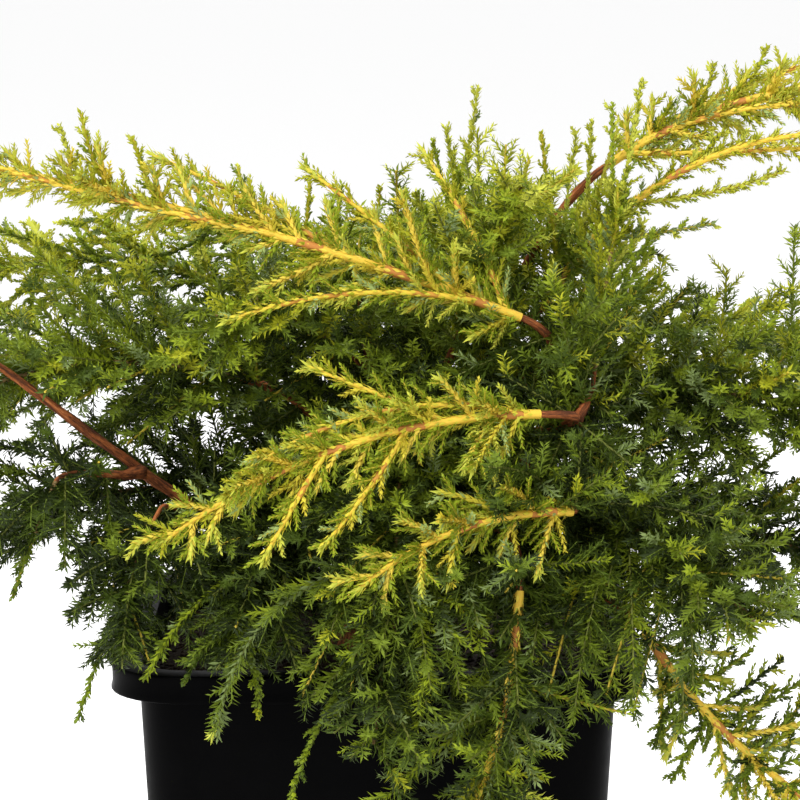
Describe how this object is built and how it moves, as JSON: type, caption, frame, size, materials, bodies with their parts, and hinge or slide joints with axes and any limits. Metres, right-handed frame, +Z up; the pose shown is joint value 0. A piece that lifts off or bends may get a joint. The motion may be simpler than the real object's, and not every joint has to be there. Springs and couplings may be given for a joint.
{
  "type": "potted juniper",
  "caption": "Spreading conifer with golden leading shoots and dense green sprays, growing in a square black nursery pot filled with soil.",
  "frame": {"origin": "middle of the pot's flat underside", "axes": "+Z up the pot and the trunk; the plant's face, as the picture shows it, looks along -Y"},
  "size_m": [0.6091, 0.5058, 0.5096],
  "materials": {
    "pot_plastic": "matte black moulded plastic",
    "potting_soil": "dark crumbly potting soil",
    "bark": "flaking red-brown bark",
    "needles_gold": "golden yellow needles",
    "needles_lime": "fresh yellow-green needles",
    "needles_green": "mid-green needles",
    "needles_dark": "dark green shaded needles"
  },
  "bodies": {
    "root": {"pot": "pot_plastic", "soil": "potting_soil", "trunk": "bark", "bough_right_leader": "bark", "bough_left_leader": "bark", "bough_left_bough": "bark", "bough_golden_fan": "bark", "bough_front_low": "bark", "bough_front_skirt": "bark", "bough_front_apron": "bark", "bough_right_skirt": "bark", "bough_left_skirt": "bark", "bough_left_rim_spray": "bark", "bough_upper_left": "bark", "bough_centre_spire": "bark", "bough_centre_front": "bark", "bough_right_upper": "bark", "bough_stub_spray": "bark", "bough_right_middle": "bark", "bough_right_front": "bark", "bough_right_low": "bark", "bough_front_middle": "bark", "bough_front_left": "bark", "bough_centre_left": "bark", "bough_left_front": "bark", "bough_left_side": "bark", "bough_left_low": "bark", "bough_back_left": "bark", "bough_back_middle": "bark", "bough_back_right": "bark", "bough_back_low": "bark", "foliage_right_leader": "needles_gold", "foliage_left_leader": "needles_gold", "foliage_left_bough": "needles_green", "foliage_golden_fan": "needles_gold", "foliage_front_low": "needles_gold", "foliage_front_skirt": "needles_green", "foliage_front_apron": "needles_dark", "foliage_right_skirt": "needles_gold", "foliage_left_skirt": "needles_dark", "foliage_left_rim_spray": "needles_dark", "foliage_upper_left": "needles_lime", "foliage_centre_spire": "needles_lime", "foliage_centre_front": "needles_green", "foliage_right_upper": "needles_lime", "foliage_stub_spray": "needles_lime", "foliage_right_middle": "needles_green", "foliage_right_front": "needles_green", "foliage_right_low": "needles_dark", "foliage_front_middle": "needles_green", "foliage_front_left": "needles_dark", "foliage_centre_left": "needles_dark", "foliage_left_front": "needles_green", "foliage_left_side": "needles_green", "foliage_left_low": "needles_dark", "foliage_back_left": "needles_lime", "foliage_back_middle": "needles_green", "foliage_back_right": "needles_lime", "foliage_back_low": "needles_dark"}
  },
  "joints": []
}
